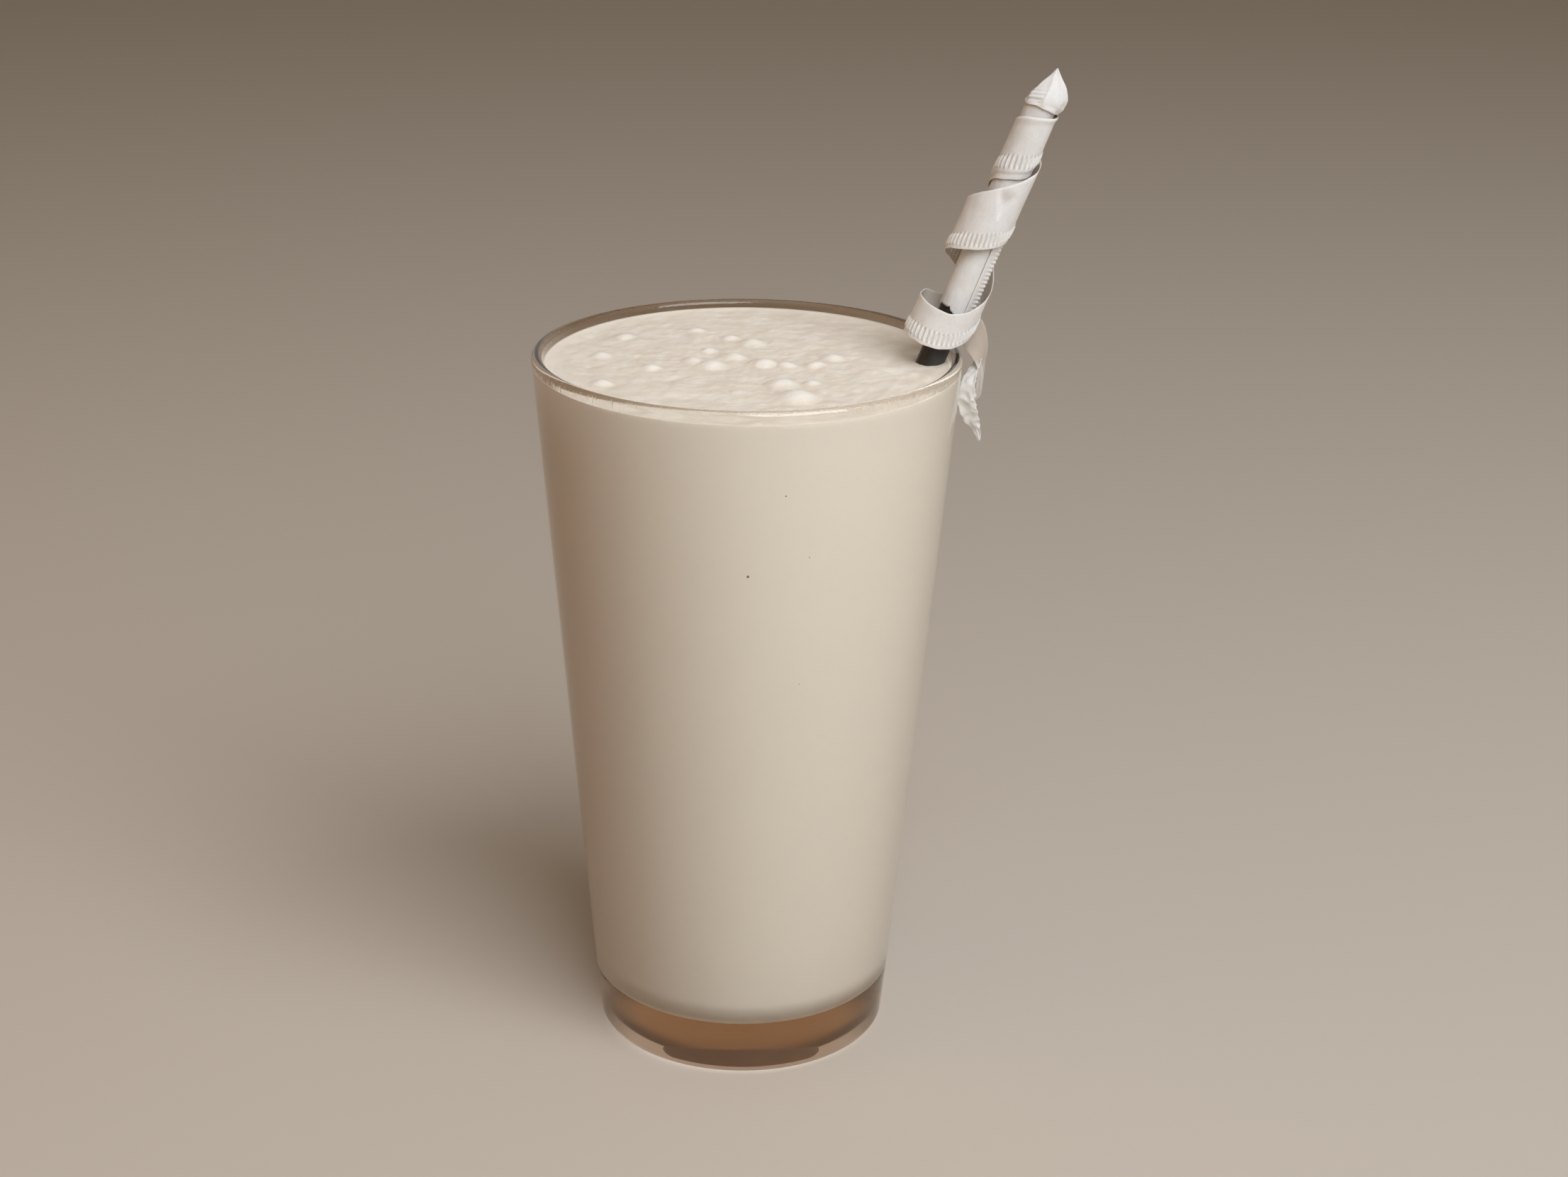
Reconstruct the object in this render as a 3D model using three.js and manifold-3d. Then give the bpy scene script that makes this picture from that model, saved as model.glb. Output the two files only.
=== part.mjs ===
import * as THREE from 'three';
import { mergeVertices } from 'three/addons/utils/BufferGeometryUtils.js';
import Module from 'manifold-3d';

const wasm = await Module();
wasm.setup();

// Egg cream in a straight-sided tumbler, with a paper-wrapped straw. Millimetres, +Z up.
// Origin in the middle of the foot; -Y is the side the drink is seen from, +X its right.

// Clear space kept between two pieces.
const GAP = 0.3;

// Tumbler: conical wall, thick clear base, half-round rim.
const GLASS_HEIGHT = 152;
const RIM_RADIUS = 44.5;
const FOOT_RADIUS = 31.4;
const RIM_WALL = 2.3;
const FOOT_WALL = 3.2;
const GLASS_BASE = 10.5;
const FOOT_ROUND = 0.9;
const INNER_ROUND = 7;
const GLASS_SEGMENTS = 72;
const ARC_STEPS = 6;

// Drink: filled to just under the rim, a little higher at the far side.
const DRINK_LEVEL = 149;
const FAR_RISE = 0.7;
const MENISCUS_RISE = 0.7;
const MENISCUS_REACH = 1.6;
const FROTH_CELL = 1.75;
const FROTH_DEPTH = 30;
const LUMP_ASPECT = 0.25;
const LUMP_FOOT = 0.75;
const SMALL_LUMPS = 34;
const SMALL_LUMP_WIDTHS = [2.8, 4.2];
const SMALL_LUMP_LOWER = 0.4;
const FROTH_SEED = 17;

// The large bubbles of the froth: x, y and width.
const LARGE_LUMPS = [
  [-7.2, -0.6, 5.1],
  [-30.4, 5.6, 3.8],
  [-26.2, 19.2, 3.8],
  [-19.8, -2.7, 3.8],
  [-29.3, -14, 3.8],
  [-11.2, 24.8, 3.8],
  [-3.6, 19.6, 3.2],
  [1, 15.3, 5.1],
  [-2.8, 5.5, 4.4],
  [-11.4, 2.3, 3.8],
  [3.6, 1, 5.1],
  [8, 0, 3.8],
  [6.9, -13.8, 5.7],
  [9.9, -22.5, 7.6],
  [13.1, -12.4, 3.2],
  [17.7, 5.1, 4.4],
  [14, 0.2, 3.8],
  [-8, 10.1, 3.2],
];

// Straw: leans on the rim. Distances along it count from where it leaves the drink.
const STRAW_ENTRY = new THREE.Vector3(37.95, 3.1, DRINK_LEVEL);
const STRAW_POINT = new THREE.Vector3(61.74, 4.4, 210.16);
const STRAW_RADIUS = 2.85;
const STRAW_WALL = 0.3;
const STRAW_FOOT = -144;
const STRAW_TOP = 57.4;
const ROUND_SEGMENTS = 28;

// Paper: one sheet thick. The sleeve hugs the straw; its lower edge is torn.
const PAPER = 0.25;
const SLEEVE_BOTTOM = 11.4;
const SLEEVE_TOP = 57.8;
const SLEEVE_INNER = STRAW_RADIUS + GAP;
const SLEEVE_OUTER = SLEEVE_INNER + PAPER;
const TEAR_SIZES = [0.5, 0.35];
const TEAR_WAVES = [2, 7];
const SEAM_FROM = 12.8;
const SEAM_TO = 33;
const SEAM_ANGLES = [-54, -4];
const SEAM_ROWS = 40;
const SEAM_TOOTH = 4;

// Ribbon: one row each quarter turn, winding down from behind: behind, right, front, left.
// Place along the straw, half width along the straw, radius.
const WINDING = [
  [53.2, 5, 3.9],
  [51.2, 5.7, 4.2],
  [48.6, 6.9, 4],
  [46.5, 6.8, 3.9],
  [42.5, 7.2, 4.2],
  [38.4, 8.1, 4.9],
  [33.9, 7.1, 5.1],
  [29.2, 5.8, 6.4],
  [24, 5.6, 5],
  [15, 4.9, 5.7],
  [8.7, 4, 6],
  [8.8, 4.2, 7.8],
  [10, 4, 6.4],
];
const QUARTER_STEPS = 8;
const WINDING_START = 90;

// Tail of the ribbon: over the rim and down outside. Middle, then half width as a vector.
const TAIL = [
  [45.5, 5.8, 156.1, 1.9, 0.4, 2.8],
  [47.8, 4.6, 152.5, 2.1, 0.6, 1.3],
  [48.7, 4.4, 147.8, 1, 2.2, -0.4],
  [48.4, 4.2, 143.4, 1, 2.3, 0],
  [48, 4.1, 140.9, 1, 2.3, 0.2],
];
// Torn strip that hangs from the tail and narrows to a point.
const SHRED = [
  [48.2, 4.4, 149.6, 0.5, -0.7, 0.3],
  [46.7, 2.6, 147.2, 0.9, -0.7, 0.2],
  [45.8, 1, 144.4, 1.2, -0.9, 0.1],
  [45.6, 0.4, 141.2, 1.5, -0.9, 0.3],
  [46.6, 0.2, 138.2, 1.3, -0.6, 0.6],
  [47.9, 0.1, 135.6, 0.6, -0.4, 0.3],
  [48.6, 0, 133.2, 0.15, -0.1, 0.1],
];
const TAIL_STEPS = 5;
const ACROSS_STEPS = 3;
const SHRED_CREASE = 0.3;
const CREASE_ALONG = 0.8;
const CREASE_ACROSS = 1.9;

// Folded tip over the top of the straw: place along the straw, radius, shift to the right.
const TIP = [
  [56.2, 4.2, 0.2],
  [58.4, 4.15, 0.3],
  [60.6, 3.5, 0.8],
  [62.6, 2.3, 0.8],
  [64.2, 1, 0.4],
];
const TIP_END = 65.5;
const TIP_EDGE_SLANT = 1.2;
const TIP_EDGE_LOW = 45;
const TIP_FLATTEN = 0.45;

const { lerp, degToRad } = THREE.MathUtils;

// Straw frame: x to the right, y away from the viewer, z up along the straw.
const strawAxis = STRAW_POINT.clone().sub(STRAW_ENTRY).normalize();
const strawSide = new THREE.Vector3(1, 0, 0).addScaledVector(strawAxis, -strawAxis.x).normalize();
const strawBack = strawAxis.clone().cross(strawSide);
const strawFrame = new THREE.Matrix4().makeBasis(strawSide, strawBack, strawAxis).setPosition(STRAW_ENTRY);

function onStraw(angle, along, radius) {
  const turn = degToRad(angle);
  const point = new THREE.Vector3(radius * Math.cos(turn), radius * Math.sin(turn), along);
  return point.applyMatrix4(strawFrame);
}

// Closed solids.

function welded(geometry) {
  const bare = geometry.clone();
  bare.deleteAttribute('normal');
  bare.deleteAttribute('uv');
  return mergeVertices(bare);
}

function solidOf(geometry) {
  const joined = welded(geometry);
  const vertProperties = Float32Array.from(joined.attributes.position.array);
  const triVerts = Uint32Array.from(joined.index.array);
  return new wasm.Manifold(new wasm.Mesh({ numProp: 3, vertProperties, triVerts }));
}

function geometryOf(solid) {
  const mesh = solid.getMesh();
  const geometry = new THREE.BufferGeometry();
  geometry.setAttribute('position', new THREE.BufferAttribute(mesh.vertProperties, 3));
  geometry.setIndex(new THREE.BufferAttribute(mesh.triVerts, 1));
  geometry.computeVertexNormals();
  return geometry;
}

function turned(profile, segments) {
  const points = profile.map(([radius, height]) => new THREE.Vector2(radius, height));
  return new THREE.LatheGeometry(points, segments).rotateX(Math.PI / 2);
}

// Moves every corner of a geometry by a rule.
function reshaped(geometry, rule) {
  const bare = welded(geometry);
  const place = bare.attributes.position;
  const point = new THREE.Vector3();
  for (let i = 0; i < place.count; i += 1) {
    point.fromBufferAttribute(place, i);
    rule(point);
    place.setXYZ(i, point.x, point.y, point.z);
  }
  bare.computeVertexNormals();
  return bare;
}

function arc(radius, height, round, from, to) {
  const points = [];
  for (let i = 0; i <= ARC_STEPS; i += 1) {
    const turn = degToRad(lerp(from, to, i / ARC_STEPS));
    points.push([radius + round * Math.cos(turn), height + round * Math.sin(turn)]);
  }
  return points;
}

function outerRadius(height) {
  return lerp(FOOT_RADIUS, RIM_RADIUS, height / GLASS_HEIGHT);
}

function innerRadius(height) {
  return outerRadius(height) - lerp(FOOT_WALL, RIM_WALL, height / GLASS_HEIGHT);
}

// Inside of the tumbler from its floor up, drawn in by a margin.
function innerOutline(margin) {
  const floor = GLASS_BASE + margin;
  const bend = floor + INNER_ROUND;
  return [[0, floor], ...arc(innerRadius(bend) - margin - INNER_ROUND, bend, INNER_ROUND, -90, 0)];
}

function glassGeometry() {
  const rimRound = RIM_WALL / 2;
  const rimHeight = GLASS_HEIGHT - rimRound;
  const footFlat = FOOT_RADIUS - FOOT_ROUND;
  const rimMiddle = (outerRadius(rimHeight) + innerRadius(rimHeight)) / 2;
  const profile = [
    [0, 0],
    ...arc(footFlat, FOOT_ROUND, FOOT_ROUND, -90, 0),
    ...arc(rimMiddle, rimHeight, rimRound, 0, 180),
    ...innerOutline(0).reverse(),
  ];
  return turned(profile, GLASS_SEGMENTS);
}

// Seeded draw between 0 and 1.
function drawFrom(seed) {
  let state = seed;
  return () => {
    state = (state * 16807) % 2147483647;
    return state / 2147483647;
  };
}

// Smaller, lower bubbles spread evenly over the surface, with a seeded width and nudge.
function smallLumps(reach) {
  const draw = drawFrom(FROTH_SEED);
  const golden = Math.PI * (3 - Math.sqrt(5));
  const lumps = [];
  for (let i = 0; i < SMALL_LUMPS; i += 1) {
    const radius = reach * Math.sqrt((i + 0.3 + 0.4 * draw()) / SMALL_LUMPS);
    const turn = golden * (i + 0.5 * draw());
    const width = lerp(...SMALL_LUMP_WIDTHS, draw());
    lumps.push([radius * Math.cos(turn), radius * Math.sin(turn), width, SMALL_LUMP_LOWER]);
  }
  return lumps;
}

const drinkRadius = innerRadius(DRINK_LEVEL) - GAP;
const frothLumps = [...LARGE_LUMPS, ...smallLumps(drinkRadius)];

// Height of the froth: level, rise at the far side and at the wall, and the bubbles.
function frothHeight(x, y) {
  const toWall = Math.max(drinkRadius - Math.hypot(x, y), 0);
  const meniscus = MENISCUS_RISE * Math.exp(-toWall / MENISCUS_REACH);
  let lump = 0;
  for (const [lumpX, lumpY, width, lower = 1] of frothLumps) {
    const away = Math.hypot(x - lumpX, y - lumpY) / (LUMP_FOOT * width);
    const swell = Math.max(1 - away * away, 0);
    lump = Math.max(lump, lower * LUMP_ASPECT * width * swell * swell);
  }
  return DRINK_LEVEL + (FAR_RISE * y) / drinkRadius + meniscus + lump;
}

function drinkGeometry() {
  const above = DRINK_LEVEL + FROTH_DEPTH;
  const filling = [...innerOutline(GAP), [innerRadius(above) - GAP, above], [0, above]];
  const cells = Math.round((2 * RIM_RADIUS) / FROTH_CELL);
  const depth = DRINK_LEVEL + 2 * FROTH_DEPTH;
  const block = new THREE.BoxGeometry(2 * RIM_RADIUS, 2 * RIM_RADIUS, depth, cells, cells, 1);
  const froth = reshaped(block, (point) => {
    point.z = point.z > 0 ? frothHeight(point.x, point.y) : -FROTH_DEPTH;
  });
  const bore = STRAW_RADIUS + GAP;
  const strawRoom = turned(
    [[0, STRAW_FOOT - GAP], [bore, STRAW_FOOT - GAP], [bore, STRAW_TOP], [0, STRAW_TOP]],
    ROUND_SEGMENTS,
  ).applyMatrix4(strawFrame);
  const filled = solidOf(turned(filling, GLASS_SEGMENTS)).intersect(solidOf(froth));
  return geometryOf(filled.subtract(solidOf(strawRoom)));
}

function tube(inner, outer, from, to) {
  return turned([[inner, from], [outer, from], [outer, to], [inner, to], [inner, from]], ROUND_SEGMENTS);
}

function strawGeometry() {
  return tube(STRAW_RADIUS - STRAW_WALL, STRAW_RADIUS, STRAW_FOOT, STRAW_TOP).applyMatrix4(strawFrame);
}

// Sleeve with a torn foot and the lapped, toothed seam down its right side.
function sleeveGeometry() {
  const middle = (SLEEVE_BOTTOM + SLEEVE_TOP) / 2;
  const wrapped = reshaped(tube(SLEEVE_INNER, SLEEVE_OUTER, SLEEVE_BOTTOM, SLEEVE_TOP), (point) => {
    if (point.z < middle) {
      const turn = Math.atan2(point.y, point.x);
      point.z += TEAR_SIZES[0] * Math.sin(TEAR_WAVES[0] * turn);
      point.z += TEAR_SIZES[1] * Math.sin(TEAR_WAVES[1] * turn);
    }
  });
  const lap = reshaped(new THREE.BoxGeometry(1, 1, 1, 1, 6, SEAM_ROWS), (point) => {
    const row = Math.round((point.z + 0.5) * SEAM_ROWS);
    const tooth = point.y > 0.4 && row % 2 === 1 ? SEAM_TOOTH : 0;
    const turn = degToRad(lerp(SEAM_ANGLES[0], SEAM_ANGLES[1] - tooth, point.y + 0.5));
    const radius = SLEEVE_OUTER + PAPER * point.x + PAPER / 4;
    point.set(radius * Math.cos(turn), radius * Math.sin(turn), lerp(SEAM_FROM, SEAM_TO, point.z + 0.5));
  });
  const solid = solidOf(wrapped).add(solidOf(lap));
  return geometryOf(solid).applyMatrix4(strawFrame);
}

// Strip of paper through stations, each a middle and a half width.
function strip(stations, crease) {
  const rows = stations.length - 1;
  const at = (row) => stations[THREE.MathUtils.clamp(row, 0, rows)];
  const block = new THREE.BoxGeometry(1, 1, 1, rows, ACROSS_STEPS, 1);
  return reshaped(block, (point) => {
    const row = Math.round((point.x + 0.5) * rows);
    const across = 2 * point.y;
    const side = Math.sign(point.z);
    const ahead = at(row + 1).middle.clone().addScaledVector(at(row + 1).half, across);
    const behind = at(row - 1).middle.clone().addScaledVector(at(row - 1).half, across);
    const facing = ahead.sub(behind).cross(at(row).half).normalize();
    const buckle = crease * Math.sin(CREASE_ALONG * row + CREASE_ACROSS * across);
    point.copy(at(row).middle).addScaledVector(at(row).half, across);
    point.addScaledVector(facing, buckle + (side * PAPER) / 2);
  });
}

// Smooth run of stations through a list of middles and half widths.
function stationsThrough(list, steps) {
  const middles = new THREE.CatmullRomCurve3(list.map((station) => station.middle));
  const halves = new THREE.CatmullRomCurve3(list.map((station) => station.half));
  const count = (list.length - 1) * steps;
  const stations = [];
  for (let i = 0; i <= count; i += 1) {
    stations.push({ middle: middles.getPoint(i / count), half: halves.getPoint(i / count) });
  }
  return stations;
}

function placed(list) {
  return list.map(([x, y, z, halfX, halfY, halfZ]) => ({
    middle: new THREE.Vector3(x, y, z),
    half: new THREE.Vector3(halfX, halfY, halfZ),
  }));
}

function windingStations() {
  const run = new THREE.CatmullRomCurve3(WINDING.map((row) => new THREE.Vector3(...row)));
  const count = (WINDING.length - 1) * QUARTER_STEPS;
  const stations = [];
  for (let i = 0; i <= count; i += 1) {
    const { x: along, y: halfWidth, z: radius } = run.getPoint(i / count);
    const angle = WINDING_START - (90 * i) / QUARTER_STEPS;
    stations.push({
      middle: onStraw(angle, along, radius),
      half: strawAxis.clone().multiplyScalar(halfWidth),
    });
  }
  return stations;
}

// Value at a place along the straw, from rows of place and value.
function between(rows, along) {
  const next = Math.max(rows.findIndex((row) => row[0] >= along), 1);
  const [from, valueFrom] = rows[next - 1];
  const [to, valueTo] = rows[next];
  return lerp(valueFrom, valueTo, (along - from) / (to - from));
}

// Pointed cap, pinched flat towards its end, with a slanting lower edge.
function tipGeometry() {
  const [edge] = TIP[0];
  const [shoulder] = TIP[1];
  const outside = TIP.map(([along, radius]) => [radius, along]);
  const inside = TIP.map(([along, radius]) => [radius - PAPER, Math.max(along - PAPER, edge)]);
  const profile = [[0, TIP_END - 3 * PAPER], ...inside.reverse(), ...outside, [0, TIP_END]];
  const shifts = [...TIP.map(([along, , shift]) => [along, shift]), [TIP_END, 0]];
  return reshaped(turned(profile, ROUND_SEGMENTS), (point) => {
    const along = point.z;
    const turn = Math.atan2(point.y, point.x) - degToRad(TIP_EDGE_LOW);
    const pinch = Math.max(along - shoulder, 0) / (TIP_END - shoulder);
    point.y *= 1 - TIP_FLATTEN * pinch;
    point.x += between(shifts, along);
    point.z -= along <= edge ? TIP_EDGE_SLANT * Math.cos(turn) : 0;
  }).applyMatrix4(strawFrame);
}

// Windings, tail, torn strip and tip, all of one ribbon.
function ribbonGeometry() {
  const winding = windingStations();
  const leaving = winding.slice(-QUARTER_STEPS).filter((_, i) => i % (QUARTER_STEPS / 2) === 0);
  const tail = stationsThrough([...leaving, ...placed(TAIL)], TAIL_STEPS);
  const shred = stationsThrough(placed(SHRED), TAIL_STEPS);
  const wound = solidOf(strip([...winding.slice(0, -QUARTER_STEPS), ...tail], 0));
  return geometryOf(wound.add(solidOf(strip(shred, SHRED_CREASE))).add(solidOf(tipGeometry())));
}

const object = new THREE.Group();

function addPart(name, geometry, color, roughness, extra = {}) {
  const material = new THREE.MeshStandardMaterial({ color, roughness, metalness: 0, ...extra });
  const mesh = new THREE.Mesh(geometry, material);
  mesh.name = name;
  object.add(mesh);
}

addPart('glass', glassGeometry(), 0xe6ece8, 0.05, { transparent: true, opacity: 0.35 });
addPart('drink', drinkGeometry(), 0xcdbb9f, 0.45);
addPart('straw', strawGeometry(), 0x1d1b1a, 0.35);
addPart('paper_sleeve', sleeveGeometry(), 0xcfc7be, 0.85);
addPart('paper_ribbon', ribbonGeometry(), 0xd9d2c9, 0.85);

export default object;
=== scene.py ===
"""Egg cream in its glass, with a black straw in a torn paper wrapper.

Laid out as an add-on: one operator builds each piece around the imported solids,
and one builds the stage. Lengths are in metres, in the frame of the solids.
"""

import math

import bmesh
import bpy
from bpy.props import (
    FloatProperty,
    FloatVectorProperty,
    IntProperty,
    PointerProperty,
)
from mathutils import Matrix, Vector, noise


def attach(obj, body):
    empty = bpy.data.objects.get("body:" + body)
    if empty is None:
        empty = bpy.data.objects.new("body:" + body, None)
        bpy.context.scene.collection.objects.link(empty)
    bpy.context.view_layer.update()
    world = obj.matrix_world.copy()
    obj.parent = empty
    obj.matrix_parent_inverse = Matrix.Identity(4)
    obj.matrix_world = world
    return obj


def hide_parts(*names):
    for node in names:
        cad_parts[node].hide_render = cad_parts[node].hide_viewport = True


bl_info = {
    "name": "Egg Cream",
    "version": (1, 0, 0),
    "blender": (4, 5, 0),
    "location": "3D View > Sidebar > Egg Cream",
    "description": "Builds an egg cream in its glass with a paper-wrapped straw",
    "category": "Object",
}

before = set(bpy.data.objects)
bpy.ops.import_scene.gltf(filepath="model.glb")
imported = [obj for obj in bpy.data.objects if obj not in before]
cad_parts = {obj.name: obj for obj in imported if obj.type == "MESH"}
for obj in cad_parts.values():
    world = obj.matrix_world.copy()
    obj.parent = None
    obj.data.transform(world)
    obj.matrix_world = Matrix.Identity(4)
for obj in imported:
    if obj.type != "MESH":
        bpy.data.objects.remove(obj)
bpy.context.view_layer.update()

MM = 0.001
UP = Vector((0.0, 0.0, 1.0))

# Large bubbles of the froth: x, y and width, in millimetres.
LARGE_BUBBLES = (
    (-7.2, -0.6, 5.1),
    (-30.4, 5.6, 3.8),
    (-26.2, 19.2, 3.8),
    (-19.8, -2.7, 3.8),
    (-29.3, -14.0, 3.8),
    (-11.2, 24.8, 3.8),
    (-3.6, 19.6, 3.2),
    (1.0, 15.3, 5.1),
    (-2.8, 5.5, 4.4),
    (-11.4, 2.3, 3.8),
    (3.6, 1.0, 5.1),
    (8.0, 0.0, 3.8),
    (6.9, -13.8, 5.7),
    (9.9, -22.5, 7.6),
    (13.1, -12.4, 3.2),
    (17.7, 5.1, 4.4),
    (14.0, 0.2, 3.8),
    (-8.0, 10.1, 3.2),
)

# Dark specks in the drink against the wall: x, y, z and radius, in millimetres.
SPECKS = (
    (0.53, -39.14, 117.19, 0.34),
    (7.64, -39.98, 134.24, 0.2),
    (12.37, -37.48, 120.76, 0.16),
    (10.74, -35.31, 92.89, 0.13),
)

# Ribbon, a row each quarter turn down the straw from behind: place along the
# straw, half width and radius, in millimetres.
WINDING = (
    (53.2, 5.0, 3.7),
    (50.5, 6.4, 4.0),
    (48.7, 6.8, 3.8),
    (46.5, 6.8, 3.7),
    (42.5, 7.2, 4.0),
    (38.4, 8.1, 4.7),
    (33.9, 7.1, 5.0),
    (29.2, 5.8, 6.4),
    (24.0, 5.6, 5.0),
    (15.0, 4.9, 5.7),
    (8.7, 4.0, 6.0),
    (8.8, 4.2, 7.8),
    (10.0, 4.0, 6.4),
)

# Tail over the rim, and the torn strip that hangs from it: middle, then half
# width as a vector, in millimetres.
TAIL = (
    (45.5, 5.8, 156.1, 1.9, 0.4, 2.8),
    (47.8, 4.6, 152.5, 2.1, 0.6, 1.3),
    (48.7, 4.4, 147.8, 1.0, 2.2, -0.4),
    (48.4, 4.2, 143.4, 1.0, 2.3, 0.0),
    (48.0, 4.1, 140.9, 1.0, 2.3, 0.2),
)
SHRED = (
    (48.2, 4.4, 149.6, 0.5, -0.7, 0.3),
    (46.7, 2.6, 147.2, 0.9, -0.7, 0.2),
    (45.8, 1.0, 144.4, 1.2, -0.9, 0.1),
    (45.6, 0.4, 141.2, 1.5, -0.9, 0.3),
    (46.6, 0.2, 138.2, 1.3, -0.6, 0.6),
    (47.9, 0.1, 135.6, 0.6, -0.4, 0.3),
    (48.6, 0.0, 133.2, 0.15, -0.1, 0.1),
)

# Pressed band of the ribbon: where it rises and falls from the edge, in
# millimetres, and the quarter turns over which it fades out.
BAND_RISE = (0.8, 1.1)
BAND_FALL = (3.0, 3.4)
BAND_END = (11.4, 12.1)
# Doubled start of the ribbon: how far its under sheet shows and how much deeper
# it lies, in millimetres, and the quarter turns over which it ends.
UNDER_SHOWS = 1.7
UNDER_DEPTH = 0.25
UNDER_END = (2.9, 3.7)
# The ribbon's corners crowd towards its pressed edge by this power.
EDGE_CROWDING = 1.35
# Quarter turn from which the ribbon is its tail, which shows its inner face; the tail's faces towards
# -Y get painted shade.
TAIL_START = 12.4
# V-shaped dent in the second turn: angle in degrees, foot along the straw,
# radius there and depth, in millimetres.
DENT_ANGLE = -84.0
DENT_FOOT = 33.4
DENT_RADIUS = 4.9
DENT_DEPTH = 0.9

# Folded tip: place along the straw, radius and shift to the right, in
# millimetres.
TIP = (
    (57.2, 3.7, 0.1),
    (58.8, 3.85, 0.3),
    (60.6, 3.45, 0.7),
    (62.6, 2.3, 0.8),
    (64.2, 1.0, 0.4),
    (65.5, 0.05, 0.0),
)
# Corners between the flat folds of the tip, in degrees.
FOLDS = (-55.0, -15.0, 80.0, 140.0, 198.0, 256.0, 305.0, 345.0)

# A ring of the drink's side lies this far under the froth's edge, so that the
# edge stays crisp.
EDGE_GAP = 0.01 * MM

# Lamps: name, place, width and tint. They face one point.
LAMPS = (
    ("key", (0.525, -0.839, 1.09), 1.1, (0.91, 0.95, 1.0)),
    ("fill", (-0.9, -0.2, 0.4), 0.8, (1.0, 0.44, 0.1)),
    ("top", (0.0, 0.1, 1.4), 0.9, (1.0, 1.0, 1.0)),
)
LAMP_AIM = (0.0, 0.0, 0.1)

# Camera: place, then yaw, pitch and roll in radians, lens and sensor in
# millimetres.
CAMERA_PLACE = (0.0, -0.53887, 0.30062)
CAMERA_TURN = (0.015384, 0.356622, 0.014545)
CAMERA_LENS = 62.01
CAMERA_SENSOR = 36.0
FLOOR_SIZE = 6.0


def length(title, words, default):
    """A length property in metres."""
    return FloatProperty(name=title, description=words, default=default, unit="LENGTH", precision=5)


def colour(title, words, default):
    """A linear colour property."""
    return FloatVectorProperty(
        name=title, description=words, default=default, size=3, subtype="COLOR", min=0.0, max=1.0
    )


def power(title, words, default):
    """A lamp's power property in watts."""
    return FloatProperty(name=title, description=words, default=default, unit="POWER", min=0.0)


class EggCreamGlass(bpy.types.PropertyGroup):
    """Sizes and tints of the tumbler; its amber tint and its far rim tint are painted reflection."""

    height: length("Height", "Foot to rim", 0.152)
    rim_radius: length("Rim radius", "Outside of the wall, carried up to the rim", 0.0445)
    foot_radius: length("Foot radius", "Outside of the wall, carried down to the table", 0.0314)
    rim_wall: length("Rim wall", "Thickness of the wall at the half-round rim", 0.0023)
    foot_wall: length("Foot wall", "Thickness of the wall near the foot", 0.0032)
    base: length("Base", "Thickness of the clear base", 0.0105)
    foot_round: length("Foot round", "Radius of the foot's outer corner", 0.0022)
    inner_round: length("Inner round", "Radius of the corner inside, at the base", 0.007)
    steps: IntProperty(name="Steps", description="Steps round the glass", default=160, min=32)
    # Painted reflection: the amber tint browns the thick base and tints the drink through the walls,
    # in place of warm surroundings seen through the glass.
    tint: colour("Tint", "What the glass keeps of the light that crosses it", (0.80, 0.58, 0.38))
    clear: colour("Clear", "Tint of the rest of the glass", (0.98, 0.98, 0.97))
    # Painted reflection: brown on the bare far wall above the froth.
    far_rim_reflection: colour("Far rim", "Tint of the bare wall at the far side", (0.54, 0.44, 0.345))
    tint_density: FloatProperty(
        name="Tint density", description="Absorption for each metre of glass", default=26.0, min=0.0
    )


class EggCreamDrink(bpy.types.PropertyGroup):
    """Level, froth and colours of the drink."""

    level: length("Level", "Height of the froth's surface", 0.149)
    far_rise: length("Far rise", "How much higher the froth stands at the far side", 0.0007)
    meniscus: length("Meniscus", "Climb of the drink at the wall", 0.0007)
    into_wall: length("Into wall", "How far the drink reaches into the glass", 0.00015)
    rings: IntProperty(name="Rings", description="Rings of the surface", default=120, min=20)
    steps: IntProperty(name="Steps", description="Steps round the surface", default=320, min=64)
    milk: colour("Milk", "Colour of the drink behind the glass", (0.66, 0.605, 0.515))
    froth: colour("Froth", "Colour of the froth", (0.93, 0.855, 0.745))
    # Darker froth: random mottle, darker near the wall, and painted shade in rings round the bubbles.
    mottle_and_shade: colour("Hollow", "Colour between the bubbles", (0.86, 0.77, 0.65))
    # Painted highlight: the bubbles' tops are made paler, as if lit from above.
    lit_dome: colour("Dome", "Colour of the bubbles' tops", (0.98, 0.94, 0.87))
    # Painted light: the drink's underside is made paler, as if lit from below.
    lit_underside: colour("Underside", "Colour of the drink's underside", (1.0, 0.93, 0.82))
    speck: colour("Speck", "Colour of the dark specks", (0.03, 0.02, 0.015))


class EggCreamStraw(bpy.types.PropertyGroup):
    """Place, size and colour of the straw."""

    entry: FloatVectorProperty(
        name="Entry", description="Where its axis leaves the froth", default=(0.03795, 0.0031, 0.149),
        size=3, subtype="TRANSLATION",
    )
    point: FloatVectorProperty(
        name="Point", description="Where its axis meets the tip of the wrapper",
        default=(0.06174, 0.0044, 0.21016), size=3, subtype="TRANSLATION",
    )
    radius: length("Radius", "Outside radius", 0.00285)
    wall: length("Wall", "Thickness of its wall", 0.0003)
    foot: length("Foot", "Lower end, along the straw from the froth", -0.144)
    top: length("Top", "Upper end, along the straw from the froth", 0.0574)
    black: colour("Black", "Colour of the plastic", (0.018, 0.016, 0.014))


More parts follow.
